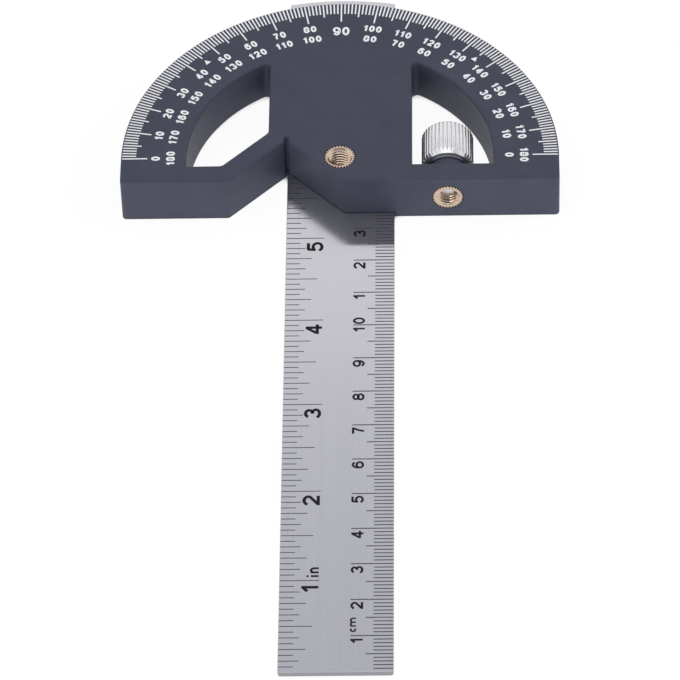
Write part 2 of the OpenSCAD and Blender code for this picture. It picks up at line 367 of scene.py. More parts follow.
class SurfaceEffects:
    """Shader node groups for grain, brushed streaks and worn edges, each built once."""

    GRAIN_SPAN: Span = (0.3, 0.7)
    PIT_SHARE = 0.6
    STREAK_SPAN: Span = (0.45, 1.05)
    BROAD_SCALE = 0.12
    BROAD_SHARE = 0.5
    BREAK_SPAN: Span = (0.4, 0.62)
    BREAK_LEVELS: Span = (0.15, 1.0)
    EDGE_SAMPLES = 6

    def __init__(self) -> None:
        """Builds the groups."""
        self.grain = self._build_grain()
        self.streaks = self._build_streaks()
        self.worn_edges = self._build_worn_edges()

    @staticmethod
    def _start(
        name: str, inputs: dict[str, Any]
    ) -> tuple[NodeSheet, bpy.types.NodeOutputs, bpy.types.NodeSocket]:
        """Starts a node group.

        Args:
            name: The group's name.
            inputs: Default number or vector of each input, by its name.

        Returns:
            The group's sheet, the values that it is given and the place on the piece.
        """
        tree = bpy.data.node_groups.new(name, "ShaderNodeTree")
        for label, default in inputs.items():
            kind = "NodeSocketFloat" if isinstance(default, float) else "NodeSocketVector"
            socket = tree.interface.new_socket(label, in_out="INPUT", socket_type=kind)
            socket.default_value = default
        sheet = NodeSheet(tree)
        given = tree.nodes.new("NodeGroupInput").outputs
        return sheet, given, sheet.add("TexCoord").outputs["Object"]

    @staticmethod
    def _put_out(sheet: NodeSheet, results: dict[str, bpy.types.NodeSocket]) -> bpy.types.NodeTree:
        """Gives a group its outputs, which are all numbers.

        Args:
            sheet: The group's sheet.
            results: The socket that each output shows, by the output's name.

        Returns:
            The finished group.
        """
        for name in results:
            sheet.tree.interface.new_socket(name, in_out="OUTPUT", socket_type="NodeSocketFloat")
        node = sheet.tree.nodes.new("NodeGroupOutput")
        for name, socket in results.items():
            sheet.tree.links.new(socket, node.inputs[name])
        return sheet.tree

    def _build_grain(self) -> bpy.types.NodeTree:
        """Makes the group for fine even grain.

        Returns:
            The group, which gives a soft mottle, a fine mask and a height.
        """
        sheet, given, place = self._start("fine_grain", {"Mottle Scale": 120.0, "Grain Scale": 4000.0})
        mottle = sheet.add("TexNoise", {"Vector": place, "Scale": given["Mottle Scale"], "Detail": 4.0})
        grain = sheet.add("TexNoise", {"Vector": place, "Scale": given["Grain Scale"], "Detail": 3.0})
        pits = sheet.add("TexVoronoi", {"Vector": place, "Scale": given["Grain Scale"]})
        results = {
            "Mottle": sheet.ramp(mottle.outputs[0], self.GRAIN_SPAN),
            "Mask": sheet.ramp(grain.outputs[0], self.GRAIN_SPAN),
            "Height": sheet.math("MULTIPLY_ADD", pits.outputs["Distance"], self.PIT_SHARE, grain.outputs[0]),
        }
        return self._put_out(sheet, results)

    def _build_streaks(self) -> bpy.types.NodeTree:
        """Makes the group for brushed or turned streaks.

        Returns:
            The group, which gives a mask and a height.
        """
        sheet, given, place = self._start("brushed_streaks", {"Lines Per Metre": (9000.0, 60.0, 9000.0)})
        stretched = sheet.add("VectorMath", {0: place, 1: given[0]}, operation="MULTIPLY").outputs[0]
        fine = sheet.add("TexNoise", {"Vector": stretched, "Scale": 1.0, "Detail": 2.0})
        broad = sheet.add("TexNoise", {"Vector": stretched, "Scale": self.BROAD_SCALE, "Detail": 2.0})
        height = sheet.math("MULTIPLY_ADD", broad.outputs[0], self.BROAD_SHARE, fine.outputs[0])
        return self._put_out(sheet, {"Mask": sheet.ramp(height, self.STREAK_SPAN), "Height": height})

    def _build_worn_edges(self) -> bpy.types.NodeTree:
        """Makes the group for worn edges.

        Returns:
            The group, which gives a mask that breaks up along the edges.
        """
        defaults = {"Radius": 0.4 * MM, "Reach": 0.12, "Break Scale": 900.0}
        sheet, given, place = self._start("worn_edges", defaults)
        rounded = sheet.add("Bevel", {"Radius": given["Radius"]}, samples=self.EDGE_SAMPLES).outputs[0]
        flat = sheet.add("NewGeometry").outputs["Normal"]
        alike = sheet.add("VectorMath", {0: rounded, 1: flat}, operation="DOT_PRODUCT").outputs["Value"]
        bent = sheet.math("SUBTRACT", 1.0, alike)
        edge = sheet.math("DIVIDE", bent, given["Reach"], clamp=True)
        noise = sheet.add("TexNoise", {"Vector": place, "Scale": given["Break Scale"], "Detail": 3.0})
        broken = sheet.ramp(noise.outputs[0], self.BREAK_SPAN, self.BREAK_LEVELS)
        return self._put_out(sheet, {"Mask": sheet.math("MULTIPLY", edge, broken)})


# Finishes


@dataclass(frozen=True)
class Finish(ABC):
    """Base of the finishes: a material with one Principled shader."""

    name: str
    colour: Colour

    @abstractmethod
    def looks(self, sheet: NodeSheet, effects: SurfaceEffects) -> dict[str, Any]:
        """Adds the finish's own nodes and returns values for the shader's inputs, by name."""

    def build(self, effects: SurfaceEffects) -> bpy.types.Material:
        """Makes the material.

        Args:
            effects: The shared node groups.

        Returns:
            The material.
        """
        material = bpy.data.materials.new(self.name)
        material.use_nodes = True
        sheet = NodeSheet(material.node_tree)
        shader = sheet.add("BsdfPrincipled", self.looks(sheet, effects))
        sheet.add("OutputMaterial", {"Surface": shader.outputs[0]})
        return material


@dataclass(frozen=True)
class MouldedPlastic(Finish):
    """Matte moulded plastic with fine grain and edges rubbed a little paler."""

    mottled: Colour
    rubbed: Colour
    roughness: Span = (0.40, 0.52)
    mottle_scale: float = 140.0
    grain_scale: float = 3200.0
    grain_depth: float = 0.006 * MM
    specular: float = 0.40
    rubbed_share: float = 0.15
    edge_radius: float = 0.35 * MM

    def looks(self, sheet: NodeSheet, effects: SurfaceEffects) -> dict[str, Any]:
        """Adds the grain and the rubbed edges.

        Args:
            sheet: The material's sheet.
            effects: The shared node groups.

        Returns:
            Values for the shader's inputs, by name.
        """
        scales = {"Mottle Scale": self.mottle_scale, "Grain Scale": self.grain_scale}
        grain = sheet.add("Group", scales, node_tree=effects.grain).outputs
        wear = sheet.add("Group", {"Radius": self.edge_radius}, node_tree=effects.worn_edges).outputs
        body = sheet.blend(grain["Mottle"], opaque(self.colour), opaque(self.mottled))
        rubbed = sheet.math("MULTIPLY", wear["Mask"], self.rubbed_share)
        return {
            "Base Color": sheet.blend(rubbed, body, opaque(self.rubbed)),
            "Roughness": sheet.ramp(grain["Mask"], UNIT, self.roughness),
            "Normal": sheet.bump(grain["Height"], self.grain_depth),
            "Specular IOR Level": self.specular,
        }


@dataclass(frozen=True)
class StreakedMetal(Finish):
    """Bare or plated metal with brushed or turned streaks and edges polished by use.

    The brush map is the UV map that the brushing follows, and the cut map marks the faces of cut metal.
    """

    streak: Colour
    polished: Colour
    roughness: Span
    lines_per_metre: tuple[float, float, float]
    streak_depth: float
    metallic: float = 1.0
    anisotropic: float = 0.0
    brush_map: str = ""
    cut_map: str = ""
    # Darker colour of the cut faces: partly the duller sheared metal and partly painted shade on the upright
    # faces.
    cut: Colour = (0.4, 0.4, 0.4)
    polished_share: float = 0.4
    edge_radius: float = 0.2 * MM

    def looks(self, sheet: NodeSheet, effects: SurfaceEffects) -> dict[str, Any]:
        """Adds the streaks, the cut faces, whose darker colour is partly painted shade, and the polished
        edges.

        Args:
            sheet: The material's sheet.
            effects: The shared node groups.

        Returns:
            Values for the shader's inputs, by name.
        """
        lines = {"Lines Per Metre": self.lines_per_metre}
        streaks = sheet.add("Group", lines, node_tree=effects.streaks).outputs
        wear = sheet.add("Group", {"Radius": self.edge_radius}, node_tree=effects.worn_edges).outputs
        body = sheet.blend(streaks["Mask"], opaque(self.colour), opaque(self.streak))
        # Partly painted shade: the upright cut faces take a darker colour than the brushed top.
        if self.cut_map:
            sheared = sheet.add("Attribute", attribute_name=self.cut_map).outputs["Fac"]
            body = sheet.blend(sheared, body, opaque(self.cut))
        polished = sheet.math("MULTIPLY", wear["Mask"], self.polished_share)
        values = {
            "Base Color": sheet.blend(polished, body, opaque(self.polished)),
            "Roughness": sheet.ramp(streaks["Mask"], UNIT, self.roughness),
            "Normal": sheet.bump(streaks["Height"], self.streak_depth),
            "Metallic": self.metallic,
            "Anisotropic": self.anisotropic,
        }
        if self.brush_map:
            brush = sheet.add("Tangent", direction_type="UV_MAP", uv_map=self.brush_map)
            values["Tangent"] = brush.outputs[0]
        return values


@dataclass(frozen=True)
class PrintedInk(Finish):
    """Thin printed ink with a slightly uneven film."""

    thin: Colour
    roughness: Span = (0.45, 0.60)
    mottle_scale: float = 900.0
    grain_scale: float = 6000.0
    grain_depth: float = 0.003 * MM
    specular: float = 0.5

    def looks(self, sheet: NodeSheet, effects: SurfaceEffects) -> dict[str, Any]:
        """Adds the film's grain.

        Args:
            sheet: The material's sheet.
            effects: The shared node groups.

        Returns:
            Values for the shader's inputs, by name.
        """
        scales = {"Mottle Scale": self.mottle_scale, "Grain Scale": self.grain_scale}
        grain = sheet.add("Group", scales, node_tree=effects.grain).outputs
        return {
            "Base Color": sheet.blend(grain["Mottle"], opaque(self.colour), opaque(self.thin)),
            "Roughness": sheet.ramp(grain["Mask"], UNIT, self.roughness),
            "Normal": sheet.bump(grain["Height"], self.grain_depth),
            "Specular IOR Level": self.specular,
        }


class Finishes:
    """All finishes of the tool, each made once."""

    BRUSH_MAP = "brush_direction"
    CUT_MAP = "cut_face"

    def __init__(self) -> None:
        """Makes the shared effects and every material."""
        effects = SurfaceEffects()
        self.head_plastic = MouldedPlastic(
            "matte_blue_grey_plastic",
            colour=(0.0550, 0.0595, 0.0875),
            mottled=(0.0630, 0.0675, 0.0975),
            rubbed=(0.096, 0.101, 0.133),
            roughness=(0.45, 0.56),
            specular=0.15,
        ).build(effects)
        self.washer_nylon = MouldedPlastic(
            "natural_nylon",
            colour=(0.74, 0.72, 0.66),
            mottled=(0.80, 0.79, 0.74),
            rubbed=(0.86, 0.85, 0.81),
        ).build(effects)
        self.ruler_steel = StreakedMetal(
            "satin_steel",
            colour=(0.598, 0.588, 0.632),
            streak=(0.608, 0.598, 0.642),
            polished=(0.70, 0.69, 0.72),
            roughness=(0.145, 0.175),
            lines_per_metre=(9500.0, 45.0, 9500.0),
            streak_depth=0.0004 * MM,
            metallic=0.88,
            anisotropic=0.95,
            brush_map=self.BRUSH_MAP,
            cut_map=self.CUT_MAP,
            # Partly the sheared edge's own duller tone and partly painted shade on the ruler's upright faces.
            cut=(0.31, 0.31, 0.335),
        ).build(effects)
        self.insert_brass = StreakedMetal(
            "machined_brass",
            colour=(0.60, 0.450, 0.345),
            streak=(0.66, 0.520, 0.415),
            polished=(0.85, 0.77, 0.69),
            roughness=(0.13, 0.22),
            lines_per_metre=(1800.0, 1800.0, 6000.0),
            streak_depth=0.001 * MM,
        ).build(effects)
        self.knob_nickel = StreakedMetal(
            "bright_nickel",
            colour=(0.80, 0.79, 0.81),
            streak=(0.86, 0.855, 0.87),
            polished=(0.93, 0.93, 0.94),
            roughness=(0.20, 0.30),
            lines_per_metre=(4000.0, 300.0, 4000.0),
            streak_depth=0.003 * MM,
            metallic=0.88,
        ).build(effects)
        self.screw_steel = StreakedMetal(
            "plain_steel",
            colour=(0.82, 0.80, 0.80),
            streak=(0.87, 0.85, 0.85),
            polished=(0.93, 0.92, 0.92),
            roughness=(0.30, 0.44),
            lines_per_metre=(2500.0, 2500.0, 5000.0),
            streak_depth=0.004 * MM,
        ).build(effects)
        self.washer_steel = StreakedMetal(
            "dark_plated_steel",
            colour=(0.16, 0.165, 0.20),
            streak=(0.20, 0.205, 0.24),
            polished=(0.26, 0.265, 0.30),
            roughness=(0.44, 0.56),
            lines_per_metre=(3000.0, 800.0, 3000.0),
            streak_depth=0.004 * MM,
        ).build(effects)
        self.white_ink = PrintedInk(
            "white_ink", colour=(0.94, 0.94, 0.95), thin=(0.88, 0.88, 0.90)
        ).build(effects)
        self.etched_grey = PrintedInk(
            "etched_grey", colour=(0.045, 0.043, 0.058), thin=(0.07, 0.068, 0.085), specular=0.3
        ).build(effects)
        self.black_ink = PrintedInk(
            "black_ink", colour=(0.010, 0.009, 0.014), thin=(0.017, 0.016, 0.022), specular=0.12
        ).build(effects)


# Mesh work


def offset_across(place: Vector, point: Vector, axis: Vector) -> Vector:
    """Returns the part of a place's offset from a point that is square to an axis."""
    offset = place - point
    return offset - axis * offset.dot(axis)


def only_verts(items: Iterable[Any]) -> list[bmesh.types.BMVert]:
    """Returns the vertices among an operator's results."""
    return [item for item in items if isinstance(item, bmesh.types.BMVert)]


class Workpiece:
    """A bmesh in the making, with the steps that the pieces share."""

    FLAT_DEG = 0.2
    SHARP_DEG = 35.0
    WIDEST_CHORD_DEG = 60.0
    FEWEST_ROUND_CORNERS = 12
    NEAR_CIRCLE = 2 * MICRON

    def __init__(self) -> None:
        """Starts an empty bmesh."""
        self.bm = bmesh.new()

    @classmethod
    def from_node(cls, node: bpy.types.Object) -> Workpiece:
        """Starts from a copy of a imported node's mesh, with its loose triangles joined to faces.

        Args:
            node: The node's object.

        Returns:
            The workpiece.
        """
        work = cls()
        work.bm.from_mesh(node.data)
        bmesh.ops.remove_doubles(work.bm, verts=work.bm.verts, dist=NODE_MERGE_DISTANCE)
        bmesh.ops.dissolve_limit(
            work.bm, angle_limit=math.radians(cls.FLAT_DEG), verts=work.bm.verts, edges=work.bm.edges
        )
        return work

    def refine_rounds(self, point: Vector, axis: Vector, widest_deg: float) -> None:
        """Cuts every round edge about an axis finer.

        Args:
            point: A point on the axis.
            axis: Unit vector along the axis.
            widest_deg: Widest angle that a chord may still span.
        """
        lengths = (offset_across(vert.co, point, axis).length for vert in self.bm.verts)
        counts = Counter(round(length / MICRON) for length in lengths)
        for microns, count in counts.items():
            if microns > 0 and count >= self.FEWEST_ROUND_CORNERS:
                self.refine_arcs(point, axis, microns * MICRON, widest_deg)

    def refine_arcs(self, point: Vector, axis: Vector, radius: float, widest_deg: float) -> None:
        """Cuts the chords of a round edge finer and puts the new corners on the true circle.

        Args:
            point: A point on the circle's axis.
            axis: Unit vector along the axis.
            radius: The circle's radius.
            widest_deg: Widest angle that a chord may still span.
        """
        chords: dict[int, Edges] = {}
        for edge in self.bm.edges:
            first, second = (offset_across(vert.co, point, axis) for vert in edge.verts)
            climb = (edge.verts[1].co - edge.verts[0].co).dot(axis)
            misses = (first.length - radius, second.length - radius, climb)
            if max(abs(miss) for miss in misses) > self.NEAR_CIRCLE:
                continue
            span = math.degrees(first.angle(second))
            cuts = math.ceil(span / widest_deg) - 1
            if cuts > 0 and span < self.WIDEST_CHORD_DEG:
                chords.setdefault(cuts, []).append(edge)
        for cuts, edges in chords.items():
            made = bmesh.ops.subdivide_edges(self.bm, edges=edges, cuts=cuts)
            for vert in only_verts(made["geom_inner"]):
                reach = offset_across(vert.co, point, axis)
                vert.co += reach * (radius / reach.length - 1.0)

    def mark_rounding(self, width_of: Callable[[bmesh.types.BMEdge], float], widest: float) -> None:
        """Marks each edge with its share of the widest rounding.

        Args:
            width_of: Gives the rounding of an edge.
            widest: The widest rounding.
        """
        layer = self.bm.edges.layers.float.new("bevel_weight_edge")
        for edge in self.bm.edges:
            edge[layer] = min(1.0, width_of(edge) / widest)

    def loop_at(self, height: float) -> Edges:
        """Returns the open edges that lie at a height."""
        open_edges = [edge for edge in self.bm.edges if edge.is_boundary]
        return [edge for edge in open_edges if all(abs(vert.co.z - height) < MICRON for vert in edge.verts)]

    def circle(self, radius: float, height: float, steps: int) -> Edges:
        """Adds a circle of edges about the Z axis.

        Args:
            radius: The circle's radius.
            height: The circle's height.
            steps: Number of its edges.

        Returns:
            The circle's edges.
        """
        place = Matrix.Translation(UP * height)
        made = bmesh.ops.create_circle(self.bm, segments=steps, radius=radius, matrix=place)
        verts = set(made["verts"])
        return [edge for edge in self.bm.edges if verts.issuperset(edge.verts)]

    def loft(self, edges: Edges, *stations: tuple[Reach, float]) -> Edges:
        """Extrudes a loop round the Z axis from station to station.

        Args:
            edges: The loop's edges.
            *stations: Radius and height of each new loop. A radius may be a function of the angle.

        Returns:
            The edges of the last loop.
        """
        for reach, height in stations:
            made = bmesh.ops.extrude_edge_only(self.bm, edges=edges)["geom"]
            for vert in only_verts(made):
                angle = math.atan2(vert.co.y, vert.co.x)
                radius = reach(angle) if callable(reach) else reach
                vert.co = (radius * math.cos(angle), radius * math.sin(angle), height)
            edges = [item for item in made if isinstance(item, bmesh.types.BMEdge)]
        return edges

    def close(self, edges: Edges) -> None:
        """Closes a loop with one face."""
        bmesh.ops.contextual_create(self.bm, geom=edges)

    def bridge(self, first: Edges, second: Edges) -> None:
        """Joins two loops with faces."""
        bmesh.ops.bridge_loops(self.bm, edges=first + second)

    def spin(self, profile: Iterable[Point], steps: int, closed: bool = True, climb: float = 0.0) -> None:
        """Spins a profile of radius and height once round the Z axis.

        Args:
            profile: The profile's corners.
            steps: Number of steps in the turn.
            closed: Whether the profile's last corner joins its first, and the turn's end its start.
            climb: How far the turn rises.
        """
        verts = [self.bm.verts.new((radius, 0.0, height)) for radius, height in profile]
        followers = verts[1:] + (verts[:1] if closed else [])
        edges = [self.bm.edges.new(pair) for pair in zip(verts, followers)]
        bmesh.ops.spin(
            self.bm, geom=verts + edges, cent=CENTRE, axis=UP, dvec=UP * (climb / steps),
            angle=FULL_TURN, steps=steps, use_merge=closed,
        )

    def outwards(self) -> None:
        """Merges doubles and turns every face of a closed shape outwards."""
        bmesh.ops.remove_doubles(self.bm, verts=self.bm.verts, dist=MERGE_DISTANCE)
        bmesh.ops.recalc_face_normals(self.bm, faces=self.bm.faces)

    def finish(
        self, name: str, material: bpy.types.Material, place: Matrix | None = None
    ) -> bpy.types.Object:
        """Turns the bmesh into a finished piece at the origin, with its place in its mesh.

        Args:
            name: The piece's name.
            material: The piece's finish.
            place: Where the piece goes, or None if it is there already.

        Returns:
            The piece.
        """
        if place is not None:
            bmesh.ops.transform(self.bm, matrix=place, verts=self.bm.verts)
        for face in self.bm.faces:
            face.smooth = True
        for edge in self.bm.edges:
            edge.smooth = not edge.is_manifold or edge.calc_face_angle(0.0) < math.radians(self.SHARP_DEG)
        mesh = bpy.data.meshes.new(name)
        self.bm.to_mesh(mesh)
        self.bm.free()
        mesh.materials.append(material)
        return add_object(name, mesh)


def hand_over(piece: bpy.types.Object, body: str, replaces: str = "") -> None:
    """Lets a finished piece ride on its body and reports it.

    Args:
        piece: The piece.
        body: The body that it moves with.
        replaces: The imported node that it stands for, or nothing.
    """
    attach(piece, body)
    if replaces:
        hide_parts(replaces)
    LOG.info("%s rides on %s with %d faces", piece.name, body, len(piece.data.polygons))


def round_edges(piece: bpy.types.Object, widest: float, segments: int) -> None:
    """Rounds a piece's marked edges and keeps its flat faces flat in the shading.

    Args:
        piece: The piece, with its edges marked by Workpiece.mark_rounding.
        widest: The widest rounding.
        segments: Number of steps across a rounding.
    """
    bevel = piece.modifiers.new("rounded_edges", "BEVEL")
    bevel.limit_method = "WEIGHT"
    bevel.width = widest
    bevel.segments = segments
    bevel.profile = 0.5
    bevel.use_clamp_overlap = False
    bevel.loop_slide = False
    bevel.harden_normals = True


# Threads, inserts, screws and washers


@dataclass(frozen=True)
class ScrewThread:
    """Sizes of the coarse five millimetre thread that the inserts and screws share."""

    pitch: float = 0.8 * MM
    crest_r: float = 2.45 * MM
    root_r: float = 2.05 * MM
    crest_share: float = 0.2
    flank_share: float = 0.3
    mating_ease: float = 0.05 * MM
    spare_turns_below: int = 2
    spare_turns_above: int = 1

    def profile(self) -> tuple[Point, ...]:
        """Lays out one turn.

        Returns:
            Share of the pitch from the crest's middle, and radius, of each corner.
        """
        half_crest = self.crest_share / 2
        root_start = half_crest + self.flank_share
        return (
            (-half_crest, self.crest_r),
            (half_crest, self.crest_r),
            (root_start, self.root_r),
            (1.0 - root_start, self.root_r),
        )

    def cut(self, work: Workpiece, ends: Span, phase: float, steps: int, ease: float = 0.0) -> None:
        """Adds a right-hand thread's wall about the Z axis, cut level at both ends.

        Args:
            work: The workpiece.
            ends: Heights of the lower and the upper end.
            phase: Height of a crest at angle 0.
            steps: Number of steps in one turn.
            ease: Clearance added to the radius.
        """
        low, high = ends
        first = math.floor((low - phase) / self.pitch) - self.spare_turns_below
        last = math.ceil((high - phase) / self.pitch) + self.spare_turns_above
        profile = [
            (radius + ease, phase + (turn + share) * self.pitch)
            for turn in range(first, last)
            for share, radius in self.profile()
        ]
        work.spin(profile, steps, closed=False, climb=self.pitch)
        bmesh.ops.remove_doubles(work.bm, verts=work.bm.verts, dist=MERGE_DISTANCE)
        for height, outside in ((low, -UP), (high, UP)):
            geom = work.bm.verts[:] + work.bm.edges[:] + work.bm.faces[:]
            bmesh.ops.bisect_plane(
                work.bm, geom=geom, dist=MERGE_DISTANCE, plane_co=UP * height, plane_no=outside,
                clear_outer=True,
            )


THREAD = ScrewThread()


@dataclass(frozen=True)
class Seat:
    """Where a turned piece stands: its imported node, and the node's axis, foot, length and radius."""

    node: str
    axis: Vector
    foot: Vector
    length: float
    radius: float

    @classmethod
    def of_node(cls, node: str, axis: Vector) -> Seat:
        """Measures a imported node.

        Args:
            node: The node's name.
            axis: Unit vector from the foot to the other end, square to X.

        Returns:
            The node's seat.
        """
        low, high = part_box(node)
        length = abs((high - low).dot(axis))
        foot = (low + high) / 2 - axis * (length / 2)
        return cls(node, axis, foot, length, (high.x - low.x) / 2)

    def phase(self) -> float:
        """Returns the height above the foot of a crest that is in step with the axis's other threads."""
        return -self.foot.dot(self.axis) % THREAD.pitch

    def fill(self, work: Workpiece, name: str, material: bpy.types.Material, body: str, slot: str) -> None:
        """Stands a workpiece on the foot and hands it over in the node's place.

        Args:
            work: The workpiece, which is closed and has its foot at the origin and its axis along Z.
            name: The piece's name.
            material: The piece's finish.
            body: The body that it moves with.
            slot: Not used.
        """
        work.outwards()
        turned = Matrix.Rotation(math.atan2(-self.axis.y, self.axis.z), 4, "X")
        piece = work.finish(name, material, Matrix.Translation(self.foot) @ turned)
        hand_over(piece, body, self.node)


@dataclass(frozen=True)
class ThreadInsert:
    """Knurled brass insert with a threaded hole and a countersink at its mouth."""

    node: str
    piece: str
    axis: Vector
    teeth: int = 30
    steps_per_tooth: int = 6
    knurl_depth: float = 0.55 * MM
    mouth_sunk: float = 0.05 * MM
    lead_in: float = 0.10 * MM
    throat_r: float = 2.45 * MM
    countersink_r: float = 2.85 * MM
    countersink_depth: float = 0.45 * MM
    countersink_ease: float = 0.05 * MM
    groove_w: float = 1.6 * MM
    groove_depth: float = 0.4 * MM

    def build(self, finishes: Finishes) -> None:
        """Makes the insert in the place of its node.

        Args:
            finishes: The tool's finishes.
        """
        seat = Seat.of_node(self.node, self.axis)
        top = seat.length - self.mouth_sunk
        thread_end = top - self.countersink_depth
        groove_r = seat.radius - self.groove_depth
        groove_foot = (seat.length - self.groove_w) / 2
        groove_top = (seat.length + self.groove_w) / 2

        def knurled(angle: float) -> float:
            """Returns the radius over the knurl at an angle."""
            return seat.radius - self.knurl_depth * (1.0 - abs(math.sin(angle * self.teeth / 2)))

        def eased(angle: float) -> float:
            """Returns the radius over the knurl at an end face."""
            return knurled(angle) - self.lead_in

        work = Workpiece()
        steps = self.teeth * self.steps_per_tooth
        THREAD.cut(work, (0.0, thread_end), seat.phase(), steps, THREAD.mating_ease)
        bore_foot = work.loop_at(0.0)
        outer_foot = work.loft(
            work.loop_at(thread_end),
            (self.throat_r, thread_end),
            (self.countersink_r, top - self.countersink_ease),
            (self.countersink_r + self.countersink_ease, top),
            (eased, top),
            (knurled, top - self.lead_in),
            (knurled, groove_top),
            (groove_r, groove_top),
            (groove_r, groove_foot),
            (knurled, groove_foot),
            (knurled, self.lead_in),
            (eased, 0.0),
        )
        work.bridge(outer_foot, bore_foot)
        seat.fill(work, self.piece, finishes.insert_brass, "head", "insert_brass")


@dataclass(frozen=True)
class PivotScrew:
    """Countersunk screw with a hexagon socket that carries the ruler from below."""

    steps: int = 96
    head_rim: float = 0.10 * MM
    cone_top: float = 1.85 * MM
    tip_chamfer: float = 0.4 * MM
    socket_sides: int = 6
    socket_across_flats: float = 3.0 * MM
    socket_depth: float = 1.6 * MM
    socket_lead_in: float = 0.15 * MM

    def build(self, finishes: Finishes) -> None:
        """Makes the screw in the place of its node.

        Args:
            finishes: The tool's finishes.
        """
        seat = Seat.of_node("pivot_screw", UP)
        shank_end = seat.length - self.tip_chamfer
        socket_r = self.socket_across_flats / 2 / math.cos(math.pi / self.socket_sides)
        work = Workpiece()
        THREAD.cut(work, (self.cone_top, shank_end), seat.phase(), self.steps)
        tip = ((THREAD.root_r, seat.length), (THREAD.root_r / 2, seat.length))
        work.close(work.loft(work.loop_at(shank_end), *tip))
        head_face = work.loft(
            work.loop_at(self.cone_top),
            (THREAD.crest_r, self.cone_top),
            (seat.radius, self.head_rim),
            (seat.radius - self.head_rim, 0.0),
        )
        socket_mouth = work.circle(socket_r + self.socket_lead_in, 0.0, self.socket_sides)
        work.bridge(head_face, socket_mouth)
        work.close(work.loft(socket_mouth, (socket_r, self.socket_lead_in), (socket_r, self.socket_depth)))
        seat.fill(work, "pivot_screw_steel", finishes.screw_steel, "head", "screw_steel")


@dataclass(frozen=True)
class FlatWasher:
    """Flat round washer with eased edges."""

    node: str
    piece: str
    body: str
    axis: Vector
    bore_r: float
    ease: float
    steps: int = 96

    def build(self, material: bpy.types.Material, slot: str) -> None:
        """Makes the washer in the place of its node.

        Args:
            material: The washer's finish.
            slot: Handed on to Seat.fill, which does not use it.
        """
        seat = Seat.of_node(self.node, self.axis)
        bore, rim, top, ease = self.bore_r, seat.radius, seat.length, self.ease
        corners = (
            (bore, ease), (bore + ease, 0.0), (rim - ease, 0.0), (rim, ease),
            (rim, top - ease), (rim - ease, top), (bore + ease, top), (bore, top - ease),
        )
        work = Workpiece()
        work.spin(corners, self.steps)
        seat.fill(work, self.piece, material, self.body, slot)


@dataclass(frozen=True)
class Thumbscrew:
    """Knurled nickel knob on a threaded stud, with its washer."""

    ribs: int = 36
    steps_per_rib: int = 8
    knurl_depth: float = 0.46 * MM
    chamfer: float = 0.7 * MM
    foot_chamfer_length: float = 1.2 * MM
    chamfer_steps: int = 5
    dish_r: float = 4.0 * MM
    dish_depth: float = 0.5 * MM
    dish_ease: float = 0.18 * MM
    stud_steps: int = 72
    stud_tip_r: float = 1.5 * MM
    stud_tip_chamfer: float = 0.7 * MM
    washer_bore_r: float = 2.65 * MM
    washer_ease: float = 0.12 * MM

    def build(self, finishes: Finishes) -> None:
        """Makes the knob, the stud and the washer.

        Args:
            finishes: The tool's finishes.
        """
        self._build_knob(finishes)
        self._build_stud(finishes)
        FlatWasher(
            "thumbscrew_washer", "thumbscrew_washer_plated", "screw_washer", TO_RIM,
            bore_r=self.washer_bore_r, ease=self.washer_ease,
        ).build(finishes.washer_steel, "washer_steel")

    def _build_knob(self, finishes: Finishes) -> None:
        """Makes the knob: rounded ribs that run out into a chamfer, and a dished end.

        Args:
            finishes: The tool's finishes.
        """
        seat = Seat.of_node("thumbscrew_knob", TO_RIM)
        end_r = seat.radius - self.chamfer
        floor_r = self.dish_r - self.dish_ease

        def rib(angle: float) -> float:
            """Returns the radius over the ribs at an angle."""
            return seat.radius - self.knurl_depth * (1.0 - math.sqrt(abs(math.sin(angle * self.ribs / 2))))

        def cut(share: float) -> Callable[[float], float]:
            """Returns the ribs' radius, cut at a share of the chamfer."""
            return lambda angle: min(rib(angle), end_r + share * self.chamfer)

        shares = [step / self.chamfer_steps for step in range(self.chamfer_steps + 1)]
        work = Workpiece()
        foot_face = work.circle(THREAD.crest_r / 2, 0.0, self.ribs * self.steps_per_rib)
        dish_floor = work.loft(
            foot_face,
            *((cut(share), share * self.foot_chamfer_length) for share in shares),
            *((cut(share), seat.length - share * self.chamfer) for share in reversed(shares)),
            (self.dish_r, seat.length),
            (floor_r, seat.length - self.dish_ease),
            (floor_r, seat.length - self.dish_depth),
        )
        work.close(dish_floor)
        work.close(foot_face)
        seat.fill(work, "thumbscrew_knob_nickel", finishes.knob_nickel, "thumbscrew", "knob_nickel")

    def _build_stud(self, finishes: Finishes) -> None:
        """Makes the stud, whose thread runs in the fence insert's.

        Args:
            finishes: The tool's finishes.
        """
        seat = Seat.of_node("thumbscrew_stud", TO_RIM)
        work = Workpiece()
        THREAD.cut(work, (self.stud_tip_chamfer, seat.length), seat.phase(), self.stud_steps)
        tip = ((self.stud_tip_r, 0.0), (self.stud_tip_r / 2, 0.0))
        work.close(work.loft(work.loop_at(self.stud_tip_chamfer), *tip))
        work.close(work.loft(work.loop_at(seat.length), (THREAD.root_r / 2, seat.length)))
        seat.fill(work, "thumbscrew_stud_thread", finishes.screw_steel, "thumbscrew", "screw_steel")


# Printing


@dataclass(frozen=True)
class Bow:
    """Part of an ellipse that a pen stroke follows, in shares of the character's cell."""

    centre: Point
    radii: Point
    start_deg: float
    sweep_deg: float
    step_deg: float = 12.0

    def points(self) -> list[Point]:
        """Works out points along the bow.

        Returns:
            The points, from the bow's start to its end.
        """
        steps = math.ceil(abs(self.sweep_deg) / self.step_deg)
        points: list[Point] = []
        for step in range(steps + 1):
            angle = math.radians(self.start_deg + self.sweep_deg * step / steps)
            x = self.centre[0] + self.radii[0] * math.cos(angle)
            y = self.centre[1] + self.radii[1] * math.sin(angle)
            points.append((x, y))
        return points


Stroke = tuple[Bow | Point, ...]


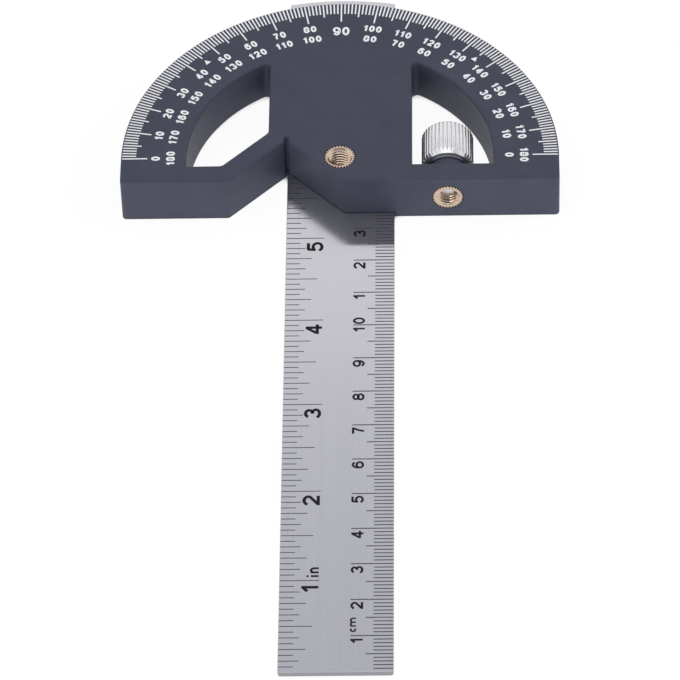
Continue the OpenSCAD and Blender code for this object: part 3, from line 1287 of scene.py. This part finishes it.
@dataclass(frozen=True)
class Glyph:
    """A numeral or letter: its width in shares of its height, and its pen strokes."""

    width: float
    strokes: tuple[Stroke, ...]

    def paths(self) -> list[list[Point]]:
        """Works out the pen strokes.

        Returns:
            The points of each stroke, in shares of the character's cell.
        """
        paths: list[list[Point]] = []
        for stroke in self.strokes:
            parts = (item.points() if isinstance(item, Bow) else [item] for item in stroke)
            paths.append([point for part in parts for point in part])
        return paths


def glyph(width: float, *strokes: Stroke) -> Glyph:
    """Returns a character of a width, drawn with pen strokes."""
    return Glyph(width, strokes)


def ring(centre: Point, radii: Point) -> Stroke:
    """Returns a stroke that goes all the way round."""
    return (Bow(centre, radii, 0.0, 360.0),)


GLYPHS: dict[str, Glyph] = {
    "0": glyph(0.68, ring((0.5, 0.5), (0.5, 0.5))),
    "1": glyph(0.54, ((0.8, 1.1), (0.8, -0.1)), ((0.78, 0.98), (0.04, 0.68))),
    "2": glyph(0.72, (Bow((0.5, 0.70), (0.5, 0.30), 168, -193), (0.08, 0.05)), ((-0.1, 0.0), (1.1, 0.0))),
    "3": glyph(
        0.70,
        (Bow((0.47, 0.745), (0.45, 0.255), 165, -255),),
        (Bow((0.47, 0.265), (0.53, 0.265), 90, -255),),
    ),
    "4": glyph(
        0.76, ((0.66, 1.02), (0.03, 0.31)), ((-0.1, 0.25), (1.1, 0.25)), ((0.70, 1.1), (0.70, -0.1))
    ),
    "5": glyph(
        0.72,
        ((1.02, 1.0), (0.1, 1.0)),
        ((0.15, 1.04), (0.06, 0.46)),
        (Bow((0.48, 0.325), (0.52, 0.325), 142, -302),),
    ),
    "6": glyph(0.72, ring((0.5, 0.315), (0.5, 0.315)), (Bow((0.52, 0.5), (0.52, 0.5), 38, 152),)),
    "7": glyph(0.70, ((-0.1, 1.0), (1.08, 1.0)), ((0.98, 0.98), (0.60, 0.48), (0.38, -0.1))),
    "8": glyph(0.72, ring((0.5, 0.75), (0.44, 0.25)), ring((0.5, 0.265), (0.5, 0.265))),
    "9": glyph(0.72, ring((0.5, 0.685), (0.5, 0.315)), (Bow((0.48, 0.5), (0.52, 0.5), 218, 152),)),
    "i": glyph(0.20, ((0.5, 0.66), (0.5, -0.1)), ((0.5, 1.1), (0.5, 0.88))),
    "n": glyph(0.62, ((0.0, 0.70), (0.0, -0.1)), (Bow((0.5, 0.33), (0.5, 0.32), 175, -175), (1.0, -0.1))),
    "c": glyph(0.66, (Bow((0.5, 0.32), (0.5, 0.32), 42, 276),)),
    "m": glyph(
        1.34,
        ((0.0, 0.70), (0.0, -0.1)),
        (Bow((0.25, 0.40), (0.25, 0.25), 175, -175), (0.5, -0.1)),
        (Bow((0.75, 0.40), (0.25, 0.25), 175, -175), (1.0, -0.1)),
    ),
}


class Align(Enum):
    """Which part of a word stands on its place."""

    START = 0.0
    MIDDLE = 0.5
    END = 1.0


Word = tuple[str, Align, Matrix]


@dataclass(frozen=True)
class Lettering:
    """A size of characters: height, then their pen width, space and breadth in shares of it."""

    height: float
    pen: float = 0.175
    space: float = 0.16
    breadth: float = 1.0

    def width(self, word: str) -> float:
        """Returns a word's width in metres."""
        shares = sum(GLYPHS[letter].width * self.breadth for letter in word) + self.space * (len(word) - 1)
        return shares * self.height

    def strokes(self, word: str, align: Align) -> list[list[Point]]:
        """Lays out a word along +X, with its feet on the X axis.

        Args:
            word: The characters.
            align: Which part of the word stands at the origin.

        Returns:
            The points of each pen stroke.
        """
        start = -self.width(word) * align.value
        edge = self.pen * self.height / 2
        inner_h = (1.0 - self.pen) * self.height
        laid: list[list[Point]] = []
        for letter in word:
            breadth = GLYPHS[letter].width * self.breadth
            inner_w = (breadth - self.pen) * self.height
            for path in GLYPHS[letter].paths():
                laid.append([(start + edge + x * inner_w, edge + y * inner_h) for x, y in path])
            start += (breadth + self.space) * self.height
        return laid


class PrintedLayer:
    """Thin print on a level face: straight marks as bars, and lettering as pen strokes."""

    FILM = 0.02 * MM
    SUNK = 0.01 * MM
    THICK = FILM + SUNK

    def __init__(self, surface_z: float) -> None:
        """Starts an empty layer on a face at a height."""
        self.surface_z = surface_z
        self.work = Workpiece()

    def bar(self, start: Vector, end: Vector, width: float) -> None:
        """Adds a straight mark.

        Args:
            start: One end, on the face.
            end: The other end, on the face.
            width: The mark's width.
        """
        along = end - start
        middle_z = self.surface_z + self.FILM - self.THICK / 2
        place = Matrix.Translation((*((start + end) / 2), middle_z))
        turned = Matrix.Rotation(math.atan2(along.y, along.x), 4, "Z")
        sized = Matrix.Diagonal((along.length, width, self.THICK, 1.0))
        bmesh.ops.create_cube(self.work.bm, size=1.0, matrix=place @ turned @ sized)

    def triangle(self, centre: Vector, outward: Vector, width: float, height: float) -> None:
        """Adds a solid triangle that points outwards.

        Args:
            centre: Its middle, on the face.
            outward: Unit vector to its point.
            width: Width of its base.
            height: Length from its base to its point.
        """
        across = Vector((outward.y, -outward.x))
        base = centre - outward * (height / 2)
        corners = (base - across * (width / 2), base + across * (width / 2), centre + outward * (height / 2))
        verts = [self.work.bm.verts.new((*corner, self.surface_z - self.SUNK)) for corner in corners]
        face = self.work.bm.faces.new(verts)
        made = bmesh.ops.extrude_face_region(self.work.bm, geom=[face])["geom"]
        bmesh.ops.translate(self.work.bm, verts=only_verts(made), vec=UP * self.THICK)

    def words(self, lettering: Lettering, words: Iterable[Word]) -> None:
        """Adds words in one size.

        The strokes are round tubes that are flattened to a film, half of it above the face.

        Args:
            lettering: The size of the characters.
            words: Each word with its alignment and its place on the face.
        """
        curve = bpy.data.curves.new("pen_strokes", "CURVE")
        curve.dimensions = "3D"
        curve.twist_mode = "Z_UP"
        curve.fill_mode = "FULL"
        curve.bevel_depth = lettering.pen * lettering.height / 2
        curve.bevel_resolution = 1
        curve.use_fill_caps = True
        for word, align, place in words:
            for path in lettering.strokes(word, align):
                round_trip = math.dist(path[0], path[-1]) < MERGE_DISTANCE
                points = path[:-1] if round_trip else path
                spline = curve.splines.new("POLY")
                spline.points.add(len(points) - 1)
                spline.use_cyclic_u = round_trip
                for target, (x, y) in zip(spline.points, points):
                    target.co = (*(place @ Vector((x, y, 0.0))), 1.0)
        holder = add_object("pen_strokes", curve)
        mesh = bpy.data.meshes.new_from_object(holder.evaluated_get(bpy.context.evaluated_depsgraph_get()))
        flatten = Matrix.Diagonal((1.0, 1.0, self.FILM / curve.bevel_depth, 1.0))
        mesh.transform(Matrix.Translation(UP * self.surface_z) @ flatten)
        self.work.bm.from_mesh(mesh)
        bpy.data.objects.remove(holder)
        bpy.data.curves.remove(curve)
        bpy.data.meshes.remove(mesh)

    def finish(self, name: str, material: bpy.types.Material, body: str) -> None:
        """Makes the layer a named piece of an ink that rides on a body."""
        self.work.outwards()
        hand_over(self.work.finish(name, material), body)


def reach_of(number: int, reaches: Reaches) -> float:
    """Returns a numbered mark's reach: that of the first interval that divides its number."""
    return next(reach for every, reach in reaches if number % every == 0)


# Protractor head


@dataclass(frozen=True)
class ProtractorHead:
    """Moulded half-disc head with rounded edges and its printed degree scale.

    How far an edge is rounded depends on where it lies: at a hole, at the notch's mouth, in a window's
    corner, on the rim, round the top or underneath.
    """

    node: str = "protractor_head"
    rim_round: float = 0.40 * MM
    top_round: float = 0.60 * MM
    mouth_round: float = 1.0 * MM
    corner_round: float = 0.15 * MM
    fillet: float = 0.90 * MM
    under_round: float = 0.12 * MM
    hole_round: float = 0.12 * MM
    boss_clear: float = 5.5 * MM
    lip_height: float = 2.0 * MM
    bar_corner_w: float = 1.05 * MM
    near: float = 0.01 * MM
    round_margin: float = 0.1 * MM
    upright_share: float = 0.99
    round_steps: int = 4
    rim_step_deg: float = 2.0
    bore_step_deg: float = 4.0
    sharp_deg: float = 30.0
    square_deg: float = 60.0
    last_degree: int = 180
    middle_degree: int = 90
    numbered_every: int = 10
    mark_w: float = 0.34 * MM
    mark_start: float = 0.32 * MM
    mark_reaches: Reaches = ((10, 6.1 * MM), (5, 4.5 * MM), (1, 3.5 * MM))
    outer_row_r: float = 42.3 * MM
    inner_row_r: float = 38.9 * MM
    middle_row_r: float = 41.0 * MM
    row_lettering: Lettering = Lettering(2.05 * MM, pen=0.235, space=0.15, breadth=0.96)
    middle_lettering: Lettering = Lettering(2.75 * MM, pen=0.20, space=0.13, breadth=0.92)
    pointer_degrees: tuple[int, int] = (45, 135)
    pointer_r: float = 44.3 * MM
    pointer_size: Span = (1.5 * MM, 1.4 * MM)

    def build(self, finishes: Finishes, nodes: dict[str, bpy.types.Object]) -> None:
        """Makes the moulding and its print.

        Args:
            finishes: The tool's finishes.
            nodes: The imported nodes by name.
        """
        self._build_moulding(finishes, nodes)
        self._build_marks(finishes)
        self._build_numerals(finishes)

    def _build_moulding(self, finishes: Finishes, nodes: dict[str, bpy.types.Object]) -> None:
        """Makes the moulding from the node's shape, with finer arcs and rounded edges.

        Args:
            finishes: The tool's finishes.
            nodes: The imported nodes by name.
        """
        low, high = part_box(self.node)
        insert_low, insert_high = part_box("fence_insert")
        screw_axis = (insert_low + insert_high) / 2
        hole_r = insert_high.x - screw_axis.x + self.round_margin
        work = Workpiece.from_node(nodes[self.node])
        work.refine_rounds(CENTRE, UP, self.rim_step_deg)
        work.refine_rounds(screw_axis, TO_RIM, self.bore_step_deg)

        def rounding(edge: bmesh.types.BMEdge) -> float:
            """Finds how far an edge of the moulding is rounded.

            Args:
                edge: The edge.

            Returns:
                The rounding's width, or 0 for an edge that stays as it is.
            """
            if edge.calc_face_angle(0.0) < math.radians(self.sharp_deg):
                return 0.0
            middle = (edge.verts[0].co + edge.verts[1].co) / 2
            along = edge.verts[1].co - edge.verts[0].co
            from_screw = Vector((middle.x - screw_axis.x, middle.z - screw_axis.z)).length
            upright = abs(along.z) > self.upright_share * along.length
            if from_screw < hole_r or middle.xy.length < hole_r:
                return self.hole_round
            if upright and along.length < self.lip_height:
                return self.under_round
            if upright and abs(middle.x - screw_axis.x) > self.boss_clear:
                if middle.y < low.y + self.near:
                    return self.mouth_round
                if edge.is_convex:
                    return self.corner_round
                on_bar_back = middle.y < 0.0 and edge.calc_face_angle(0.0) > math.radians(self.square_deg)
                return 0.0 if on_bar_back else self.fillet
            if not edge.is_convex:
                return 0.0
            if middle.z < high.z - self.near:
                return self.under_round
            on_bar = middle.y < low.y + self.near or abs(middle.x) > high.x - self.bar_corner_w
            outside = on_bar or middle.xy.length > high.x - self.round_margin
            return self.rim_round if outside else self.top_round

        work.mark_rounding(rounding, self.mouth_round)
        piece = work.finish("head_moulding", finishes.head_plastic)
        round_edges(piece, self.mouth_round, self.round_steps)
        hand_over(piece, "head", self.node)

    @staticmethod
    def _outward(degree: float) -> Vector:
        """Returns the unit vector from the swing axis to a degree of the scale."""
        return Vector((math.cos(math.radians(degree)), math.sin(math.radians(degree))))

    def _stand(self, degree: float, middle_r: float, lettering: Lettering) -> Matrix:
        """Returns the place of a word with its middle at a radius and its top outwards."""
        turn = Matrix.Rotation(math.radians(degree - self.middle_degree), 4, "Z")
        return turn @ Matrix.Translation(TO_RIM * (middle_r - lettering.height / 2))

    def _build_marks(self, finishes: Finishes) -> None:
        """Makes the degree marks and the two pointers.

        Args:
            finishes: The tool's finishes.
        """
        _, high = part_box(self.node)
        layer = PrintedLayer(high.z)
        for degree in range(self.last_degree + 1):
            outward = self._outward(degree)
            reach = reach_of(degree, self.mark_reaches)
            layer.bar(outward * (high.x - self.mark_start), outward * (high.x - reach), self.mark_w)
        for degree in self.pointer_degrees:
            outward = self._outward(degree)
            layer.triangle(outward * self.pointer_r, outward, *self.pointer_size)
        layer.finish("degree_marks", finishes.white_ink, "head")

    def _build_numerals(self, finishes: Finishes) -> None:
        """Makes the two rows of degree numerals and the single one in the middle.

        Args:
            finishes: The tool's finishes.
        """
        _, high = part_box(self.node)
        layer = PrintedLayer(high.z)
        rows: list[Word] = []
        for degree in range(0, self.last_degree + 1, self.numbered_every):
            if degree == self.middle_degree:
                continue
            for number, row_r in ((self.last_degree - degree, self.outer_row_r), (degree, self.inner_row_r)):
                rows.append((str(number), Align.MIDDLE, self._stand(degree, row_r, self.row_lettering)))
        layer.words(self.row_lettering, rows)
        middle = self._stand(self.middle_degree, self.middle_row_r, self.middle_lettering)
        layer.words(self.middle_lettering, [(str(self.middle_degree), Align.MIDDLE, middle)])
        layer.finish("degree_numerals", finishes.white_ink, "head")


# Steel ruler


def whole_steps(length: float, step: float) -> int:
    """Returns how many whole steps a length holds, with a little ease for round-off."""
    return math.floor(length / step + COUNT_EASE)


class RulerEdge(Enum):
    """The ruler's two long edges, each with the way along X that leads inwards from it."""

    LEFT = 1.0
    RIGHT = -1.0


@dataclass(frozen=True)
class RulerScale:
    """One scale of the ruler: the marks along its edge, its numerals and its unit's name."""

    edge: RulerEdge
    unit: float
    divisions: int
    reaches: Reaches
    mark_w: float
    lettering: Lettering
    foot_x: float
    gap: float
    unit_name: str
    unit_lettering: Lettering
    unit_foot_x: float

    def marks(self, length: float) -> list[Point]:
        """Lists the scale's marks.

        Args:
            length: The scale's length.

        Returns:
            Distance from the zero end and reach from the edge, for each mark.
        """
        step = self.unit / self.divisions
        numbers = range(1, whole_steps(length, step) + 1)
        return [(number * step, reach_of(number, self.reaches)) for number in numbers]


@dataclass(frozen=True)
class SteelRuler:
    """Satin steel ruler with an inch scale on its left edge and a millimetre scale on its right."""

    node: str = "steel_ruler"
    edge_round: float = 0.10 * MM
    round_steps: int = 3
    arc_step_deg: float = 1.0
    sharp_deg: float = 30.0
    scale_length: float = 150.0 * MM
    edge_gap: float = 0.10 * MM
    unit_gap: float = 0.95 * MM
    straddling_number: int = 10
    straddle_gap: float = 0.28 * MM
    inch: RulerScale = RulerScale(
        edge=RulerEdge.LEFT,
        unit=INCH,
        divisions=16,
        reaches=((16, 8.7 * MM), (8, 7.2 * MM), (4, 5.9 * MM), (2, 4.5 * MM), (1, 3.3 * MM)),
        mark_w=0.20 * MM,
        lettering=Lettering(3.85 * MM, pen=0.195, breadth=1.08),
        foot_x=-3.82 * MM,
        gap=1.2 * MM,
        unit_name="in",
        unit_lettering=Lettering(2.75 * MM, pen=0.20, space=0.18),
        unit_foot_x=-3.82 * MM,
    )
    metric: RulerScale = RulerScale(
        edge=RulerEdge.RIGHT,
        unit=CM,
        divisions=10,
        reaches=((10, 9.3 * MM), (5, 6.05 * MM), (1, 4.35 * MM)),
        mark_w=0.25 * MM,
        lettering=Lettering(2.76 * MM, pen=0.195, breadth=1.06),
        foot_x=5.80 * MM,
        gap=0.65 * MM,
        unit_name="cm",
        unit_lettering=Lettering(1.9 * MM, pen=0.225, space=0.12),
        unit_foot_x=4.34 * MM,
    )

    def build(self, finishes: Finishes, nodes: dict[str, bpy.types.Object]) -> None:
        """Makes the blade and its print.

        Args:
            finishes: The tool's finishes.
            nodes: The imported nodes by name.
        """
        self._build_blade(finishes, nodes)
        self._build_marks(finishes)
        self._build_numerals(finishes)

    def _build_blade(self, finishes: Finishes, nodes: dict[str, bpy.types.Object]) -> None:
        """Makes the blade from the node's shape, with a finer round end and eased edges.

        Args:
            finishes: The tool's finishes.
            nodes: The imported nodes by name.
        """
        _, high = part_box(self.node)
        sharp = math.radians(self.sharp_deg)
        work = Workpiece.from_node(nodes[self.node])
        work.refine_arcs(CENTRE, UP, high.y, self.arc_step_deg)

        def rounding(edge: bmesh.types.BMEdge) -> float:
            """Returns how far an edge of the blade is rounded."""
            return self.edge_round if edge.calc_face_angle(0.0) > sharp else 0.0

        work.mark_rounding(rounding, self.edge_round)
        brush = work.bm.loops.layers.uv.new(Finishes.BRUSH_MAP)
        cut = work.bm.faces.layers.float.new(Finishes.CUT_MAP)
        for face in work.bm.faces:
            face[cut] = 1.0 if abs(face.normal.z) < math.sin(sharp) else 0.0
            for loop in face.loops:
                place = loop.vert.co
                loop[brush].uv = ((place.x + place.z) / INCH, (place.y + place.z) / INCH)
        piece = work.finish("ruler_blade", finishes.ruler_steel)
        round_edges(piece, self.edge_round, self.round_steps)
        hand_over(piece, "ruler", self.node)

    def _build_marks(self, finishes: Finishes) -> None:
        """Makes the marks of both scales.

        Args:
            finishes: The tool's finishes.
        """
        low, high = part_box(self.node)
        layer = PrintedLayer(high.z)
        for scale in (self.inch, self.metric):
            edge_x = low.x if scale.edge is RulerEdge.LEFT else high.x
            inward = scale.edge.value
            for distance, reach in scale.marks(self.scale_length):
                y = low.y + distance
                start = Vector((edge_x + inward * self.edge_gap, y))
                layer.bar(start, Vector((edge_x + inward * reach, y)), scale.mark_w)
        layer.finish("ruler_marks", finishes.etched_grey, "ruler")

    def _build_numerals(self, finishes: Finishes) -> None:
        """Makes the numerals and the unit's name of both scales.

        A numeral stands before its mark and shows its last digit. The ten stands astride its mark instead.

        Args:
            finishes: The tool's finishes.
        """
        low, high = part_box(self.node)
        layer = PrintedLayer(high.z)

        def stand(foot_x: float, distance: float) -> Matrix:
            """Returns the place of a word that reads along the ruler, tops to the left."""
            place = Matrix.Translation((foot_x, low.y + distance, 0.0))
            return place @ Matrix.Rotation(math.pi / 2, 4, "Z")

        for scale in (self.inch, self.metric):
            words: list[Word] = []
            for number in range(1, whole_steps(self.scale_length, scale.unit) + 1):
                mark = number * scale.unit
                first_digit, last_digit = str(number)[0], str(number)[-1]
                astride = number == self.straddling_number
                before = first_digit if astride else last_digit
                words.append((before, Align.END, stand(scale.foot_x, mark - scale.gap)))
                if astride:
                    words.append((last_digit, Align.START, stand(scale.foot_x, mark + self.straddle_gap)))
            layer.words(scale.lettering, words)
            unit_place = stand(scale.unit_foot_x, scale.unit + self.unit_gap)
            layer.words(scale.unit_lettering, [(scale.unit_name, Align.START, unit_place)])
        layer.finish("ruler_numerals", finishes.black_ink, "ruler")


def main() -> None:
    """Loads the frame, sets up the studio and builds every piece on the frame."""
    logging.basicConfig(level=logging.INFO, format="%(name)s: %(message)s")
    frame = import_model()
    nodes = frame["nodes"]
    camera = PhotoCamera()
    camera.build()
    Studio(camera).build()
    finishes = Finishes()
    ProtractorHead().build(finishes, nodes)
    SteelRuler().build(finishes, nodes)
    ThreadInsert("pivot_insert", "pivot_insert_brass", UP).build(finishes)
    ThreadInsert(
        "fence_insert", "fence_insert_brass", -TO_RIM, countersink_r=2.55 * MM, countersink_depth=0.18 * MM
    ).build(finishes)
    PivotScrew().build(finishes)
    FlatWasher(
        "pivot_washer", "pivot_washer_nylon", "head", UP, bore_r=3.35 * MM, ease=0.08 * MM
    ).build(finishes.washer_nylon, "washer_nylon")
    Thumbscrew().build(finishes)


if __name__ == "__main__":
    main()
